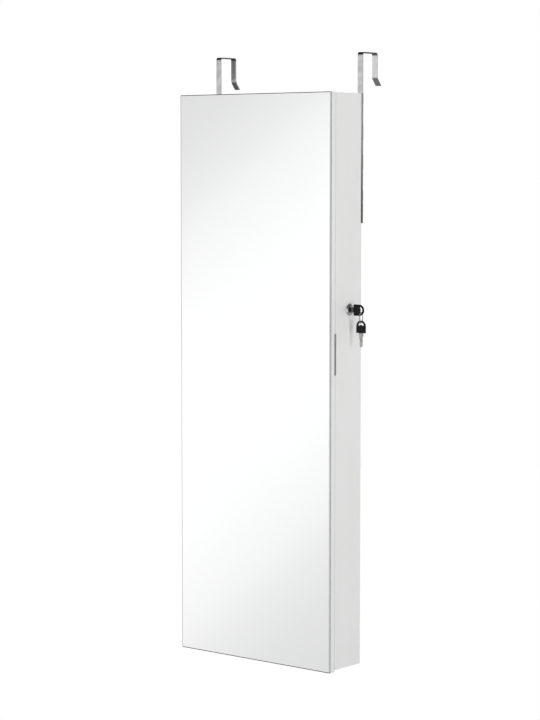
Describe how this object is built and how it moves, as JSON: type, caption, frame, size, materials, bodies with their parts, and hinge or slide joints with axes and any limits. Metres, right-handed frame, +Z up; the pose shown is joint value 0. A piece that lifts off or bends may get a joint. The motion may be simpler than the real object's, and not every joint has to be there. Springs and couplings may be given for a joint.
{
  "type": "jewelry armoire",
  "caption": "Over-the-door jewellery armoire: shallow cabinet with a full-length mirror door, side cam lock with keys, and two steel hook straps.",
  "frame": {"origin": "midway across the cabinet, on the plane where the rear pads meet the room door (Y = 0), at the top edge of that door, which is the underside of the hook bridges (Z = 0)", "axes": "+X to the viewer's right, towards the lock side; +Y into the room door, away from the mirror; +Z up"},
  "size_m": [0.4151, 0.1546, 1.166],
  "materials": {
    "white_lacquer": "satin white lacquer on fibreboard",
    "black_velvet": "short-pile velvet on a thin board",
    "ring_velvet": "velvet over foam rolls",
    "brushed_steel": "brushed stainless strip",
    "pad_foam": "closed-cell foam, matt black",
    "fastener_steel": "bright zinc-plated steel",
    "hinge_steel": "nickel-plated steel",
    "mirror_glass": "silvered float glass with a polished edge",
    "lock_chrome": "bright chrome plate",
    "key_steel": "nickel-plated, milled",
    "black_plastic": "moulded plastic, glossy rim and matt field",
    "clear_acrylic": "clear acrylic, polished edges",
    "necklace_steel": "bright plated",
    "catch_plastic": "white moulded housing"
  },
  "bodies": {
    "cabinet": {"side_panel_left": "white_lacquer", "side_panel_right": "white_lacquer", "top_panel": "white_lacquer", "bottom_panel": "white_lacquer", "back_panel": "white_lacquer", "shelf_upper": "white_lacquer", "shelf_middle": "white_lacquer", "shelf_lower": "white_lacquer", "ring_frame": "white_lacquer", "back_lining": "black_velvet", "ring_cushion": "ring_velvet", "hook_strap_left": "brushed_steel", "hook_strap_right": "brushed_steel", "strap_pad_left_upper": "pad_foam", "strap_pad_left_second": "pad_foam", "strap_pad_left_third": "pad_foam", "strap_pad_left_lower": "pad_foam", "strap_screw_left_1": "fastener_steel", "strap_screw_left_2": "fastener_steel", "strap_pad_right_upper": "pad_foam", "strap_pad_right_second": "pad_foam", "strap_pad_right_third": "pad_foam", "strap_pad_right_lower": "pad_foam", "strap_screw_right_1": "fastener_steel", "strap_screw_right_2": "fastener_steel", "hinge_lower_body_leaf": "hinge_steel", "hinge_lower_pin": "hinge_steel", "hinge_middle_body_leaf": "hinge_steel", "hinge_middle_pin": "hinge_steel", "hinge_upper_body_leaf": "hinge_steel", "hinge_upper_pin": "hinge_steel", "lock_barrel": "lock_chrome", "bracelet_rod": "lock_chrome", "rod_cup_left": "lock_chrome", "rod_cup_right": "lock_chrome", "lock_nut": "fastener_steel", "shelf_rail_upper": "clear_acrylic", "shelf_rail_middle": "clear_acrylic", "shelf_rail_lower": "clear_acrylic", "floor_rail": "clear_acrylic", "necklace_rail": "necklace_steel", "magnetic_catch": "catch_plastic"},
    "door": {"mirror_glass": "mirror_glass", "door_board": "white_lacquer", "door_lining": "black_velvet", "lock_striker": "fastener_steel", "catch_plate": "fastener_steel", "earring_rail_1": "clear_acrylic", "earring_rail_2": "clear_acrylic", "hinge_lower_door_leaf": "hinge_steel", "hinge_middle_door_leaf": "hinge_steel", "hinge_upper_door_leaf": "hinge_steel"},
    "lock_cylinder": {"lock_plug": "lock_chrome", "lock_cam": "fastener_steel", "cam_screw": "fastener_steel"},
    "key": {"key_bow": "black_plastic", "key_blade": "key_steel"},
    "ring": {"key_ring": "key_steel"},
    "spare_key": {"spare_key_bow": "black_plastic", "spare_key_blade": "key_steel"}
  },
  "joints": [
    {"name": "door_hinge", "type": "hinge", "parent": "cabinet", "child": "door", "pos_m": [-0.188, -0.0847, 0], "axis": [0, 0, -1], "range_deg": [0, 120]},
    {"name": "lock_turn", "type": "hinge", "parent": "cabinet", "child": "lock_cylinder", "pos_m": [0.1797, -0.0436, -0.4798], "axis": [-1, 0, 0], "range_deg": [0, 90]},
    {"name": "key_slide", "type": "slide", "parent": "lock_cylinder", "child": "key", "axis": [1, 0, 0], "range_m": [0, 0.015]},
    {"name": "ring_swing", "type": "hinge", "parent": "key", "child": "ring", "pos_m": [0.214, -0.0436, -0.4875], "axis": [0.9397, 0.342, 0], "range_deg": [-90, 90]},
    {"name": "spare_key_swing", "type": "hinge", "parent": "ring", "child": "spare_key", "pos_m": [0.214, -0.0436, -0.50377], "axis": [0, -1, 0], "range_deg": [-30, 75]}
  ]
}
